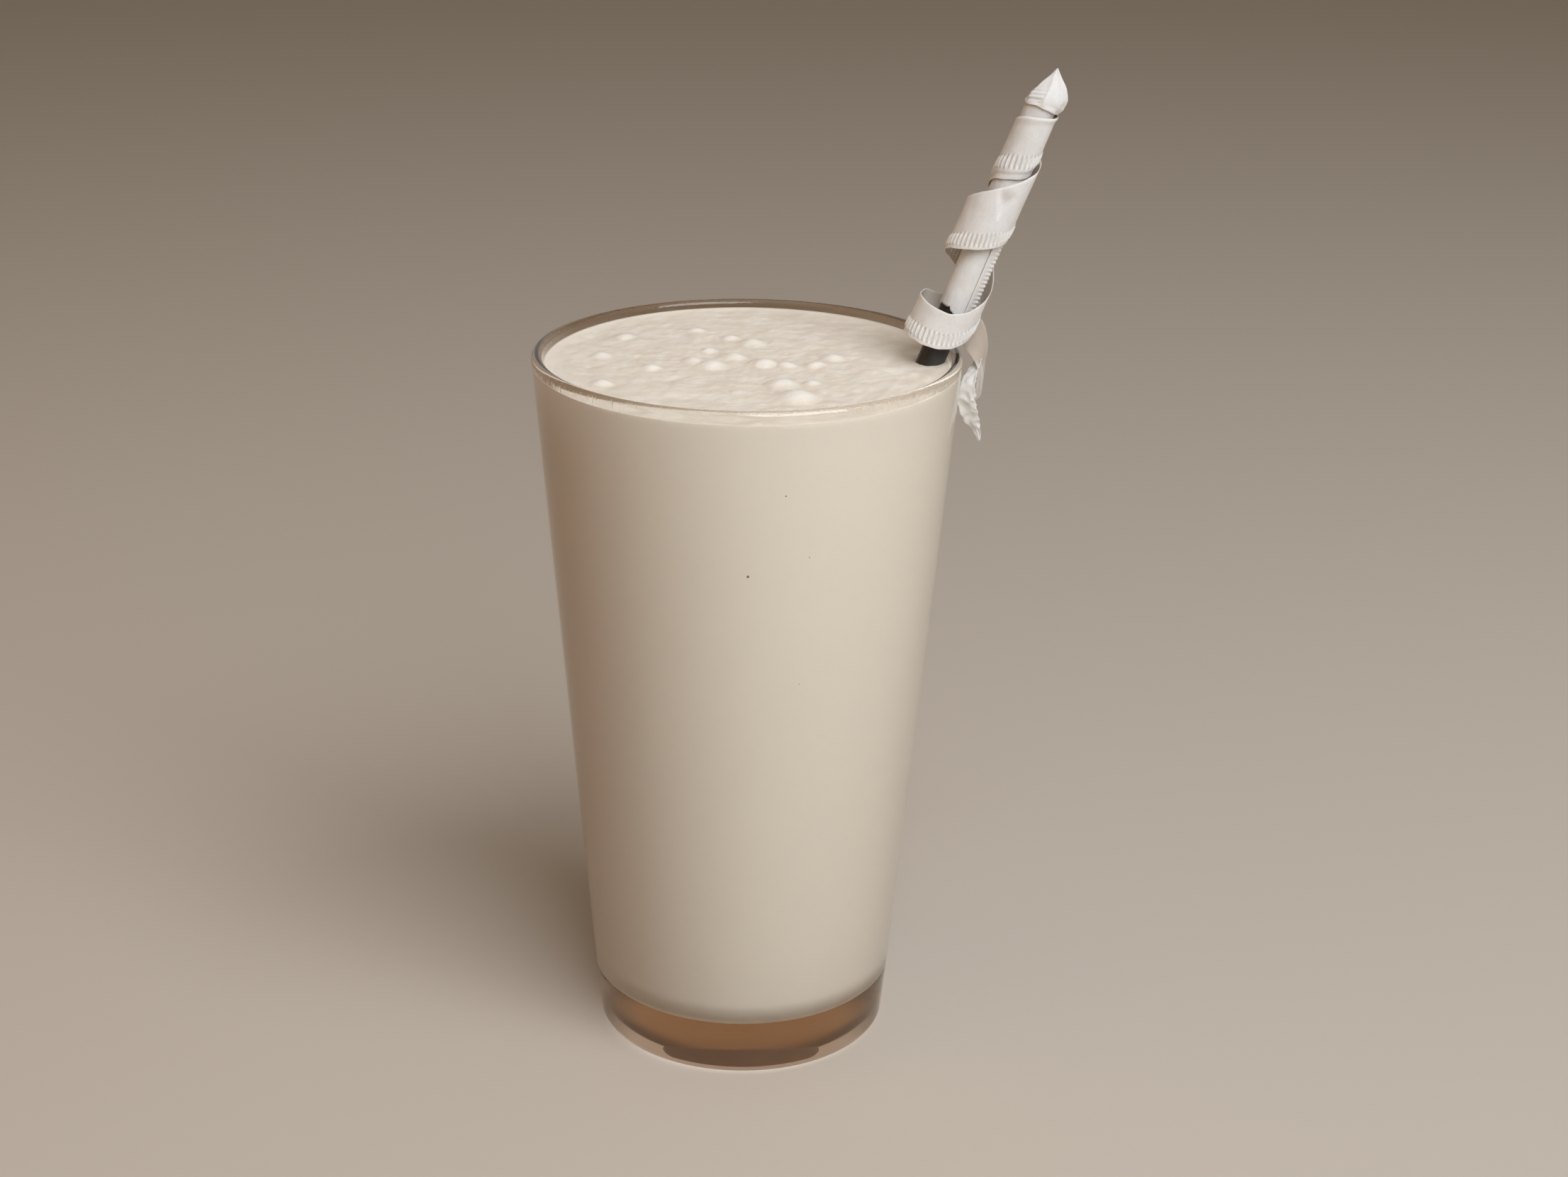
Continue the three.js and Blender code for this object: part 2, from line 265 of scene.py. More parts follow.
class EggCreamPaper(bpy.types.PropertyGroup):
    """Paper of the wrapper."""

    thickness: length("Thickness", "Thickness of one sheet", 0.00012)
    sleeve_radius: length("Sleeve radius", "Middle of the sleeve's wall", 0.00322)
    sleeve_bottom: length("Sleeve bottom", "Torn edge, along the straw from the froth", 0.0124)
    sleeve_top: length("Sleeve top", "Upper end, along the straw from the froth", 0.0578)
    seam_bottom: length("Seam bottom", "Lower end of the lapped seam, along the straw", 0.0124)
    seam_length: length("Seam length", "Length of the lapped seam", 0.022)
    tooth_pitch: length("Tooth pitch", "Distance between the teeth of the seam", 0.0009)
    rib_pitch: length("Rib pitch", "Distance between the pressed ribs", 0.00103)
    rib_height: length("Rib height", "Height of the pressed ribs", 0.0003)
    white: colour("White", "Colour of the paper", (0.88, 0.855, 0.82))
    # Painted shade: laid on the ribbon's faces towards the straw and on the tail's faces towards -Y.
    inner: colour("Inner", "Colour of the ribbon's inner face", (0.50, 0.425, 0.36))
    shade: colour("Shade", "Colour of the paper's fibres", (0.80, 0.76, 0.71))


class EggCreamStage(bpy.types.PropertyGroup):
    """Floor and light."""

    floor: colour("Floor", "Colour of the floor", (0.62, 0.555, 0.48))
    floor_gap: length("Floor gap", "Air under the foot of the glass", 0.0004)
    air: colour("Air", "Light from all round", (0.11, 0.073, 0.036))
    back_low: colour("Back low", "Light far behind, near the floor", (0.46, 0.44, 0.41))
    back_dark: colour("Back dark", "Dark band above it", (0.11, 0.075, 0.047))
    back_brown: colour("Back brown", "Brown band above that", (0.30, 0.20, 0.11))
    key_power: power("Key power", "Large light at the right", 20.4)
    top_power: power("Top power", "Soft light from above", 1.3)
    fill_power: power("Fill power", "Warm light at the left", 0.85)


# Meshes


def finish_piece(name, bm, material, node):
    """Turn a bmesh into a smooth piece that stands for a CAD node."""
    mesh = bpy.data.meshes.new(name)
    bm.to_mesh(mesh)
    bm.free()
    mesh.polygons.foreach_set("use_smooth", [True] * len(mesh.polygons))
    mesh.update()
    piece = bpy.data.objects.new(name, mesh)
    bpy.context.scene.collection.objects.link(piece)
    mesh.materials.append(material)
    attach(piece, "root")
    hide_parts(node)
    return piece


def spin_outline(bm, outline, steps):
    """Turn an outline of radius and height round the Z axis into a skin."""
    verts = [bm.verts.new((radius, 0.0, height)) for radius, height in outline]
    edges = [bm.edges.new(pair) for pair in zip(verts, verts[1:])]
    bmesh.ops.spin(
        bm, geom=verts + edges, axis=UP, cent=(0.0, 0.0, 0.0), steps=steps,
        angle=math.tau, use_merge=True,
    )
    bmesh.ops.remove_doubles(bm, verts=bm.verts, dist=1e-6)
    bmesh.ops.recalc_face_normals(bm, faces=bm.faces)


def arc(radius, height, bend, start, stop, steps):
    """Points of an arc in an outline, by angles in degrees."""
    points = []
    for i in range(steps + 1):
        turn = math.radians(start + (stop - start) * i / steps)
        points.append((radius + bend * math.cos(turn), height + bend * math.sin(turn)))
    return points


def blend_rows(rows, place):
    """Smooth value between the rows of a table, at a place from 0 to its last row."""
    last = len(rows) - 1
    i = min(max(int(math.floor(place)), 0), last - 1)
    t = place - i
    before = rows[max(i - 1, 0)]
    after = rows[min(i + 2, last)]
    values = []
    for a, b, c, d in zip(before, rows[i], rows[i + 1], after):
        square = 2 * a - 5 * b + 4 * c - d
        cube = 3 * b - a - 3 * c + d
        values.append(0.5 * (2 * b + (c - a) * t + square * t * t + cube * t ** 3))
    return values


def smooth_rows(rows, fine):
    """Rows of a table with smooth rows put between them."""
    return [blend_rows(rows, i / fine) for i in range((len(rows) - 1) * fine + 1)]


def ease(low, high, value):
    """Smooth step from 0 at low to 1 at high."""
    t = min(max((value - low) / (high - low), 0.0), 1.0)
    return t * t * (3.0 - 2.0 * t)


def straw_frame(straw):
    """Matrix of the straw's own frame: x right, y away from the viewer, z up along it."""
    entry = Vector(straw.entry)
    axis = (Vector(straw.point) - entry).normalized()
    side = (Vector((1.0, 0.0, 0.0)) - axis * axis.x).normalized()
    placed = Matrix((side, axis.cross(side), axis)).transposed().to_4x4()
    placed.translation = entry
    return placed


# Tumbler


def outer_radius(glass, height):
    """Outside radius of the wall at a height."""
    return glass.foot_radius + (glass.rim_radius - glass.foot_radius) * height / glass.height


def inner_radius(glass, height):
    """Inside radius of the wall at a height."""
    wall = glass.foot_wall + (glass.rim_wall - glass.foot_wall) * height / glass.height
    return outer_radius(glass, height) - wall


def inner_outline(glass, margin, steps):
    """Inside of the tumbler from the middle of its floor to the wall, moved out by a margin."""
    widening = inner_radius(glass, glass.height) - inner_radius(glass, 0.0)
    lean = math.degrees(math.atan2(widening, glass.height))
    bend = glass.base + glass.inner_round
    middle = inner_radius(glass, bend) - glass.inner_round / math.cos(math.radians(lean))
    corner = arc(middle, bend, glass.inner_round + margin, -90.0, -lean, steps)
    return [(0.0, glass.base - margin), (0.5 * middle, glass.base - margin)] + corner


def tumbler_outline(glass):
    """Closed outline of the tumbler, from the axis below to the axis inside."""
    rim_round = glass.rim_wall / 2.0
    rim_height = glass.height - rim_round
    rim_middle = (outer_radius(glass, rim_height) + inner_radius(glass, rim_height)) / 2.0
    lean = math.degrees(math.atan2(glass.rim_radius - glass.foot_radius, glass.height))
    foot_middle = glass.foot_radius - glass.foot_round
    outline = [(0.0, 0.0), (0.6 * foot_middle, 0.0)]
    outline += arc(foot_middle, glass.foot_round, glass.foot_round, -90.0, -lean, 8)
    outline += [(outer_radius(glass, h), h) for h in (0.02, 0.06, 0.10, 0.14)]
    outline += arc(rim_middle, rim_height, rim_round, -lean, 180.0 - lean, 14)
    outline += [(inner_radius(glass, h), h) for h in (0.14, 0.10, 0.06, 0.03)]
    return outline + inner_outline(glass, 0.0, 12)[::-1]


class EGGCREAM_OT_glass(bpy.types.Operator):
    """Build the clear tumbler."""

    bl_idname = "egg_cream.glass"
    bl_label = "Glass"

    def execute(self, context):
        glass = context.scene.egg_cream_glass
        bm = bmesh.new()
        spin_outline(bm, tumbler_outline(glass), glass.steps)
        tumbler = finish_piece("tumbler", bm, clear_glass(glass), "glass")
        tumbler.visible_shadow = False
        return {"FINISHED"}


# Drink


def froth_relief(x, y, reach, drink):
    """Height and paleness of the froth at a place, with positions in millimetres. Paleness carries
    random mottle, a painted highlight on the bubbles' tops and painted shade in a ring round them.
    """
    to_wall = max(reach - math.hypot(x, y), 0.0)
    rise = drink.far_rise / MM * y / reach + drink.meniscus / MM * math.exp(-to_wall / 1.5)
    swell, lit_dome, shade_ring = 0.0, 0.0, 0.0
    for bubble_x, bubble_y, width in LARGE_BUBBLES:
        away = math.hypot(x - bubble_x, y - bubble_y) / (0.74 * width)
        if away < 1.0:
            lift = (1.0 - away * away) ** 2
            swell = max(swell, 0.20 * width * lift)
            lit_dome = max(lit_dome, lift)
        # Painted shade: a ring round the foot of each bubble turns darker.
        shade_ring = max(shade_ring, 1.0 - abs(away - 1.05) / 0.35)
    place = Vector((x, y, 0.0))
    inland = ease(0.0, 4.0, to_wall)
    waves = 0.24 * noise.noise(place / 7.0) + 0.22 * noise.noise(place / 3.1)
    waves += 0.13 * noise.noise(place / 1.5 + UP * 4.0) + 0.05 * noise.noise(place / 0.8)
    mottle = 0.5 * ease(-0.5, 2.0, to_wall) + 0.4 * noise.noise(place / 4.0 + UP * 7.0) * inland
    # Paleness: random mottle, darker within 2 mm of the wall, raised by the painted highlight on the
    # bubbles' tops and lowered by the painted shade ring round them.
    paleness = min(max(mottle + 0.7 * lit_dome - 0.5 * shade_ring * (1.0 - lit_dome), 0.0), 1.0)
    return rise + swell + waves * inland * (1.0 - 0.7 * lit_dome), paleness


def drink_mesh(glass, drink):
    """Drink to the froth's surface, reaching just into the wall."""
    margin = drink.into_wall
    reach = inner_radius(glass, drink.level) + margin
    outline = inner_outline(glass, margin, 12)
    side = (0.03, 0.06, 0.09, 0.12, 0.14, drink.level - 0.003, drink.level - 0.0012)
    outline += [(inner_radius(glass, h) + margin, h) for h in side]
    outline.append((reach, drink.level - EDGE_GAP))
    for i in range(drink.rings + 1):
        outline.append((reach * (1.0 - i / drink.rings), drink.level))
    bm = bmesh.new()
    spin_outline(bm, outline, drink.steps)
    foam = bm.verts.layers.float.new("foam")
    for vert in bm.verts:
        vert[foam] = -1.0
        if vert.co.z > drink.level - 2.0 * EDGE_GAP:
            height, paleness = froth_relief(vert.co.x / MM, vert.co.y / MM, reach / MM, drink)
            if vert.co.z > drink.level - 0.5 * EDGE_GAP:
                vert[foam] = paleness
            vert.co.z += height * MM
    return bm


class EGGCREAM_OT_drink(bpy.types.Operator):
    """Build the drink with its froth."""

    bl_idname = "egg_cream.drink"
    bl_label = "Drink"

    def execute(self, context):
        scene = context.scene
        bm = drink_mesh(scene.egg_cream_glass, scene.egg_cream_drink)
        finish_piece("frothed_drink", bm, milky_drink(scene.egg_cream_drink), "drink")
        return {"FINISHED"}


# Straw and paper


class EGGCREAM_OT_straw(bpy.types.Operator):
    """Build the straw."""

    bl_idname = "egg_cream.straw"
    bl_label = "Straw"

    def execute(self, context):
        straw = context.scene.egg_cream_straw
        inner = straw.radius - straw.wall
        edge = straw.wall / 2.0
        middle = straw.radius - edge
        outline = arc(middle, straw.foot + edge, edge, -180.0, 0.0, 6)
        outline += [(straw.radius, h) for h in (straw.foot * 0.6, straw.foot * 0.2, 0.0, 0.02)]
        outline += arc(middle, straw.top - edge, edge, 0.0, 180.0, 6)
        outline += [(inner, straw.foot + edge)]
        bm = bmesh.new()
        spin_outline(bm, outline, 56)
        bmesh.ops.transform(bm, matrix=straw_frame(straw), verts=bm.verts)
        finish_piece("drinking_straw", bm, black_plastic(straw), "straw")
        return {"FINISHED"}


def paper_grid(bm, along, across, place):
    """Add a sheet: a grid whose corners go where place(u, v) says. Gives each corner and its u."""
    made = []
    for vert in bmesh.ops.create_grid(bm, x_segments=along, y_segments=across, size=1.0)["verts"]:
        u, v = 0.5 + 0.5 * vert.co.x, 0.5 + 0.5 * vert.co.y
        vert.co = place(u, v)
        made.append((vert, u))
    return made


def thicken(bm, thickness):
    """Give every sheet of a bmesh its thickness."""
    bmesh.ops.recalc_face_normals(bm, faces=bm.faces)
    bmesh.ops.solidify(bm, geom=bm.faces, thickness=thickness)


class EGGCREAM_OT_sleeve(bpy.types.Operator):
    """Build the paper sleeve with its torn edge and lapped seam."""

    bl_idname = "egg_cream.sleeve"
    bl_label = "Paper Sleeve"

    def execute(self, context):
        paper = context.scene.egg_cream_paper
        placed = straw_frame(context.scene.egg_cream_straw)
        low, high = paper.sleeve_bottom, paper.sleeve_top

        def wrapped(u, v):
            turn = math.radians(-4.0 + 362.0 * u)
            tear = 0.9 * noise.noise(Vector((math.cos(turn), math.sin(turn), 0.3)) * 1.6)
            tear += 0.6 * noise.noise(Vector((math.cos(turn), math.sin(turn), 2.0)) * 6.0)
            along = low + (high - low) * v + tear * MM * (1.0 - ease(0.0, 0.1, v))
            at = Vector((math.cos(turn) * 1.5, math.sin(turn) * 1.5, along / MM * 0.25))
            crumple = 0.08 * noise.noise(at) + 0.04 * noise.noise(at * 3.0)
            radius = paper.sleeve_radius + crumple * MM
            return placed @ Vector((radius * math.cos(turn), radius * math.sin(turn), along))

        def lapped(u, v):
            along = paper.seam_bottom + paper.seam_length * u
            tooth = 0.5 + 0.5 * math.sin(math.tau * along / paper.tooth_pitch)
            turn = math.radians(-54.0 + (50.0 - 5.0 * tooth) * v)
            lift = 0.24 + 0.62 * v ** 3 + 0.14 * tooth * v ** 2
            radius = paper.sleeve_radius + lift * MM
            return placed @ Vector((radius * math.cos(turn), radius * math.sin(turn), along))

        bm = bmesh.new()
        paper_grid(bm, 140, 120, wrapped)
        paper_grid(bm, 240, 12, lapped)
        thicken(bm, paper.thickness)
        finish_piece("wrapper_sleeve", bm, thin_paper(paper, "sleeve_paper"), "paper_sleeve")
        return {"FINISHED"}


def on_winding(placed, quarter):
    """Middle and half width of the ribbon at a quarter turn down the straw."""
    along, half, radius = blend_rows(WINDING, quarter)
    turn = math.radians(90.0 - 90.0 * quarter)
    at = Vector((radius * math.cos(turn), radius * math.sin(turn), along)) * MM
    return placed @ at, placed.to_3x3() @ UP * half * MM


def winding_stations(placed, fine):
    """Middle, half width and quarter turn of the ribbon down the straw, then over the rim."""
    last = len(WINDING) - 2
    stations = [(*on_winding(placed, i / fine), i / fine) for i in range(last * fine)]
    keys = []
    for quarter in (last, last + 0.5):
        middle, half = on_winding(placed, quarter)
        keys.append((*(middle / MM), *(half / MM)))
    for i, row in enumerate(smooth_rows(keys + list(TAIL), fine)):
        stations.append((Vector(row[:3]) * MM, Vector(row[3:]) * MM, last + i / fine))
    return stations


def even_stations(stations, count):
    """The same run of stations, spaced evenly along its length, each with its distance."""
    reached = [0.0]
    for a, b in zip(stations, stations[1:]):
        reached.append(reached[-1] + (b[0] - a[0]).length)
    even = []
    i = 0
    for k in range(count + 1):
        target = reached[-1] * k / count
        while i < len(reached) - 2 and reached[i + 1] < target:
            i += 1
        t = (target - reached[i]) / max(reached[i + 1] - reached[i], 1e-9)
        middle = stations[i][0].lerp(stations[i + 1][0], t)
        half = stations[i][1].lerp(stations[i + 1][1], t)
        quarter = stations[i][2] + (stations[i + 1][2] - stations[i][2]) * t
        even.append((middle, half, quarter, target))
    return even


def outward(stations, row, across):
    """Direction away from the straw at a row of a ribbon."""
    ahead = stations[min(row + 2, len(stations) - 1)]
    behind = stations[max(row - 2, 0)]
    run = (ahead[0] + ahead[1] * across) - (behind[0] + behind[1] * across)
    return stations[row][1].cross(run).normalized()


def dimple(at):
    """Depth of the dent in the second turn, at a place in the straw's frame in millimetres."""
    aside = DENT_RADIUS * (math.atan2(at.y, at.x) - math.radians(DENT_ANGLE))
    rise = at.z - DENT_FOOT
    if abs(aside) > 6.0 or not 0.0 < rise < 8.0:
        return 0.0
    inside = ease(-0.5, 1.0, 0.34 * rise - abs(aside + 0.2))
    return DENT_DEPTH * inside * (1.0 - ease(3.6, 7.0, rise)) * ease(0.0, 1.0, rise)


def ribbon_place(stations, placed, paper):
    """Rule for the corners of the ribbon: its run, pressed ribs along one edge and wrinkles."""
    rows = len(stations) - 1
    to_straw = placed.inverted()

    def place(u, v):
        row = round(u * rows)
        middle, half, quarter, distance = stations[row]
        across = 2.0 * v ** EDGE_CROWDING - 1.0
        doubled = 1.0 - ease(*UNDER_END, quarter)
        from_edge = (across + 1.0) * half.length / MM - UNDER_SHOWS * doubled
        step = UNDER_DEPTH * doubled * (1.0 - ease(-0.1, 0.0, from_edge))
        band = ease(*BAND_RISE, from_edge) * (1.0 - ease(*BAND_FALL, from_edge))
        band *= 1.0 - ease(*BAND_END, quarter)
        ribs = band * math.sin(math.tau * distance / paper.rib_pitch)
        at = middle + half * across
        spot = Vector((distance / MM, across * 4.0, 1.0))
        wrinkle = 0.20 * noise.noise(spot * 0.16) + 0.10 * (abs(noise.noise(spot * 0.42)) - 0.2)
        edge = 0.14 * noise.noise(spot * 0.5 + UP * 9.0) * ease(0.8, 1.0, abs(across))
        from_top = (1.0 - across) * half.length / MM
        hem = 0.3 * (1.0 - ease(0.9, 1.2, from_top))
        hem *= ease(0.9, 1.3, quarter) * (1.0 - ease(2.5, 3.0, quarter))
        lift = ribs * paper.rib_height + (wrinkle + hem - step - dimple(to_straw @ at / MM)) * MM
        return at + outward(stations, row, across) * lift + half.normalized() * edge * MM

    return place


def shred_place(stations):
    """Rule for the torn strip: its run with sharp creases."""
    rows = len(stations) - 1

    def place(u, v):
        row = round(u * rows)
        middle, half, _, distance = stations[row]
        across = 2.0 * v - 1.0
        spot = Vector((distance / MM * 0.42, across * 0.9, 3.0))
        crease = 0.7 * (abs(noise.noise(spot)) - 0.2) + 0.08 * noise.noise(spot * 2.6)
        ragged = 0.25 * noise.noise(spot * 3.0 + UP * 5.0) * ease(0.5, 1.0, abs(across))
        at = middle + half * (1.2 * across * (1.0 + ragged))
        return at + outward(stations, row, across) * crease * MM

    return place


def faceted(angle):
    """Share of a round section that is left where flat folds cut it, by the angle in degrees."""
    for low, high in zip(FOLDS, FOLDS[1:]):
        if low <= angle <= high:
            half = math.radians(high - low) / 2.0
            return math.cos(half) / math.cos(math.radians(angle - (low + high) / 2.0))
    return 1.0


def tip_place(placed):
    """Rule for the folded tip: flat folds, a flap down its right side and pressed lines."""
    last = len(TIP) - 1
    low, high = TIP[0][0], TIP[-1][0]

    def place(u, v):
        turn = math.tau * u
        angle = math.degrees(turn)
        along, radius, shift = blend_rows(TIP, last * v)
        raised = ease(low, low + 1.2, along)
        pinch = ease(58.5, high, along)
        twisted = angle + 3.0 * (along - 60.0) * raised
        folded = faceted((twisted - FOLDS[0]) % 360.0 + FOLDS[0])
        section = 1.0 + (folded - 1.0) * raised
        flap = ease(303.0, 306.0, angle + 4.0 * (along - 60.0)) * (1.0 - ease(345.0, 358.0, angle))
        pressed = math.sin(math.tau * (along - 0.02 * angle) / 0.95)
        pressed *= ease(185.0, 195.0, angle) * (1.0 - ease(246.0, 252.0, angle))
        pressed *= 1.0 - ease(60.8, 61.6, along)
        crumple = 0.18 * noise.noise(Vector((math.cos(turn) * 2.0, math.sin(turn) * 2.0, along * 0.5)))
        lift = (0.4 * flap + 0.1 * pressed + crumple) * raised * (1.0 - 0.6 * pinch)
        radius = max(radius * section + lift, 0.05)
        x = radius * math.cos(turn) + shift
        y = radius * math.sin(turn) * (1.0 - 0.45 * pinch)
        spot = Vector((math.cos(turn) * 1.7, math.sin(turn) * 1.7, 6.0))
        ragged = 0.35 * noise.noise(spot) * (1.0 - raised)
        return placed @ (Vector((x, y, along + ragged)) * MM)

    return place


class EGGCREAM_OT_ribbon(bpy.types.Operator):
    """Build the torn ribbon of the wrapper: tip, windings, tail and torn strip."""

    bl_idname = "egg_cream.ribbon"
    bl_label = "Paper Ribbon"

    def execute(self, context):
        paper = context.scene.egg_cream_paper
        placed = straw_frame(context.scene.egg_cream_straw)
        to_straw = placed.inverted()
        run = even_stations(winding_stations(placed, 24), 1300)
        shred = [(Vector(row[:3]) * MM, Vector(row[3:]) * MM, 0.0) for row in smooth_rows(SHRED, 10)]
        strip = even_stations(shred, 80)
        bm = bmesh.new()
        inside = bm.verts.layers.float.new("inside")
        for vert, u in paper_grid(bm, len(run) - 1, 28, ribbon_place(run, placed, paper)):
            vert[inside] = 2.0 if run[round(u * (len(run) - 1))][2] > TAIL_START else 1.0
        paper_grid(bm, 80, 16, shred_place(strip))
        paper_grid(bm, 130, 52, tip_place(placed))
        bmesh.ops.remove_doubles(bm, verts=bm.verts, dist=2e-6)
        thicken(bm, paper.thickness)
        bm.normal_update()
        # Painted shade: the winding's faces towards the straw get up to 0.6 of the inner colour, the
        # tail's faces towards -Y all of it.
        for vert in bm.verts:
            away = to_straw @ vert.co
            away.z = 0.0
            facing = (to_straw.to_3x3() @ vert.normal).dot(away.normalized())
            if vert[inside] > 1.0:
                vert[inside] = ease(0.1, 0.6, -vert.normal.y)
            else:
                vert[inside] *= 0.6 * ease(0.1, 0.6, -facing)
        finish_piece("wrapper_ribbon", bm, thin_paper(paper, "ribbon_paper"), "paper_ribbon")
        return {"FINISHED"}


# Materials


def new_material(name):
    """A material with its shader, ready for nodes."""
    material = bpy.data.materials.new(name)
    material.use_nodes = True
    tree = material.node_tree
    shader = next(n for n in tree.nodes if n.type == "BSDF_PRINCIPLED")
    coords = tree.nodes.new("ShaderNodeTexCoord")
    return material, tree, shader, coords.outputs["Object"]


def noise_node(tree, vector, scale, detail, roughness=0.5):
    """A noise texture on the object's own coordinates."""
    node = tree.nodes.new("ShaderNodeTexNoise")
    node.inputs["Scale"].default_value = scale
    node.inputs["Detail"].default_value = detail
    node.inputs["Roughness"].default_value = roughness
    tree.links.new(vector, node.inputs["Vector"])
    return node.outputs["Fac"]


def mapped(tree, value, from_low, from_high, to_low, to_high):
    """A value moved from one range to another, held at its ends."""
    node = tree.nodes.new("ShaderNodeMapRange")
    for name, number in zip(
        ("From Min", "From Max", "To Min", "To Max"), (from_low, from_high, to_low, to_high)
    ):
        node.inputs[name].default_value = number
    tree.links.new(value, node.inputs["Value"])
    return node.outputs["Result"]


def mixed_colour(tree, factor, first, second):
    """A colour between two others. Each is a plain colour or a socket."""
    node = tree.nodes.new("ShaderNodeMix")
    node.data_type = "RGBA"
    tree.links.new(factor, node.inputs[0])
    for socket, value in ((node.inputs[6], first), (node.inputs[7], second)):
        if isinstance(value, bpy.types.NodeSocket):
            tree.links.new(value, socket)
        else:
            socket.default_value = (*value, 1.0)
    return node.outputs[2]


def bump(tree, height, strength, distance, under=None):
    """A bump from a height, over another bump if one is given."""
    node = tree.nodes.new("ShaderNodeBump")
    node.inputs["Strength"].default_value = strength
    node.inputs["Distance"].default_value = distance
    tree.links.new(height, node.inputs["Height"])
    if under is not None:
        tree.links.new(under, node.inputs["Normal"])
    return node.outputs["Normal"]


def parts_of(tree, vector):
    """The X, Y and Z of a vector."""
    node = tree.nodes.new("ShaderNodeSeparateXYZ")
    tree.links.new(vector, node.inputs["Vector"])
    return node.outputs["X"], node.outputs["Y"], node.outputs["Z"]


def combined(tree, operation, first, second):
    """Two values put together by a sum or a product."""
    node = tree.nodes.new("ShaderNodeMath")
    node.operation = operation
    tree.links.new(first, node.inputs[0])
    tree.links.new(second, node.inputs[1])
    return node.outputs[0]


def product(tree, first, second):
    """Product of two values."""
    return combined(tree, "MULTIPLY", first, second)


def total(tree, first, second):
    """Sum of two values."""
    return combined(tree, "ADD", first, second)


def stretched(tree, vector, scale):
    """A vector scaled along each axis."""
    node = tree.nodes.new("ShaderNodeVectorMath")
    node.operation = "MULTIPLY"
    node.inputs[1].default_value = scale
    tree.links.new(vector, node.inputs[0])
    return node.outputs[0]


def distance_to(tree, vector, spot):
    """Distance from a place."""
    node = tree.nodes.new("ShaderNodeVectorMath")
    node.operation = "DISTANCE"
    node.inputs[1].default_value = spot
    tree.links.new(vector, node.inputs[0])
    return node.outputs["Value"]


def own_value(tree, name):
    """A value kept on the mesh."""
    node = tree.nodes.new("ShaderNodeAttribute")
    node.attribute_name = name
    return node.outputs["Fac"]


def clear_glass(glass):
    """Clear glass with faint wear; an amber tint where it is thick and brown on the bare far rim, both
    painted reflection.
    """
    material, tree, shader, place = new_material("clear_glass")
    shader.inputs["Transmission Weight"].default_value = 1.0
    shader.inputs["IOR"].default_value = 1.5
    _, depth, height = parts_of(tree, place)
    # Painted reflection: the bare wall above the froth turns brown towards the far side.
    bare = mapped(tree, height, 0.1484, 0.1494, 0.0, 1.0)
    far = product(tree, bare, mapped(tree, depth, -0.012, 0.022, 0.0, 1.0))
    tree.links.new(mixed_colour(tree, far, glass.clear, glass.far_rim_reflection), shader.inputs["Base Color"])
    nicks = noise_node(tree, stretched(tree, place, (2300.0, 2300.0, 150.0)), 1.0, 2.0)
    at_rim = mapped(tree, height, 0.1485, 0.1500, 0.0, 1.0)
    worn = product(tree, mapped(tree, nicks, 0.60, 0.74, 0.0, 1.0), at_rim)
    smudge = mapped(tree, noise_node(tree, place, 60.0, 4.0), 0.4, 0.75, 0.0, 0.05)
    dulled = total(tree, smudge, mapped(tree, worn, 0.0, 1.0, 0.0, 0.14))
    tree.links.new(dulled, shader.inputs["Roughness"])
    tree.links.new(bump(tree, worn, 0.3, -0.0001), shader.inputs["Normal"])
    # Painted reflection: amber absorption browns the thick glass in place of the warm surroundings it
    # would refract.
    absorb = tree.nodes.new("ShaderNodeVolumeAbsorption")
    absorb.inputs["Color"].default_value = (*glass.tint, 1.0)
    absorb.inputs["Density"].default_value = glass.tint_density
    output = next(n for n in tree.nodes if n.type == "OUTPUT_MATERIAL")
    tree.links.new(absorb.outputs["Volume"], output.inputs["Volume"])
    return material


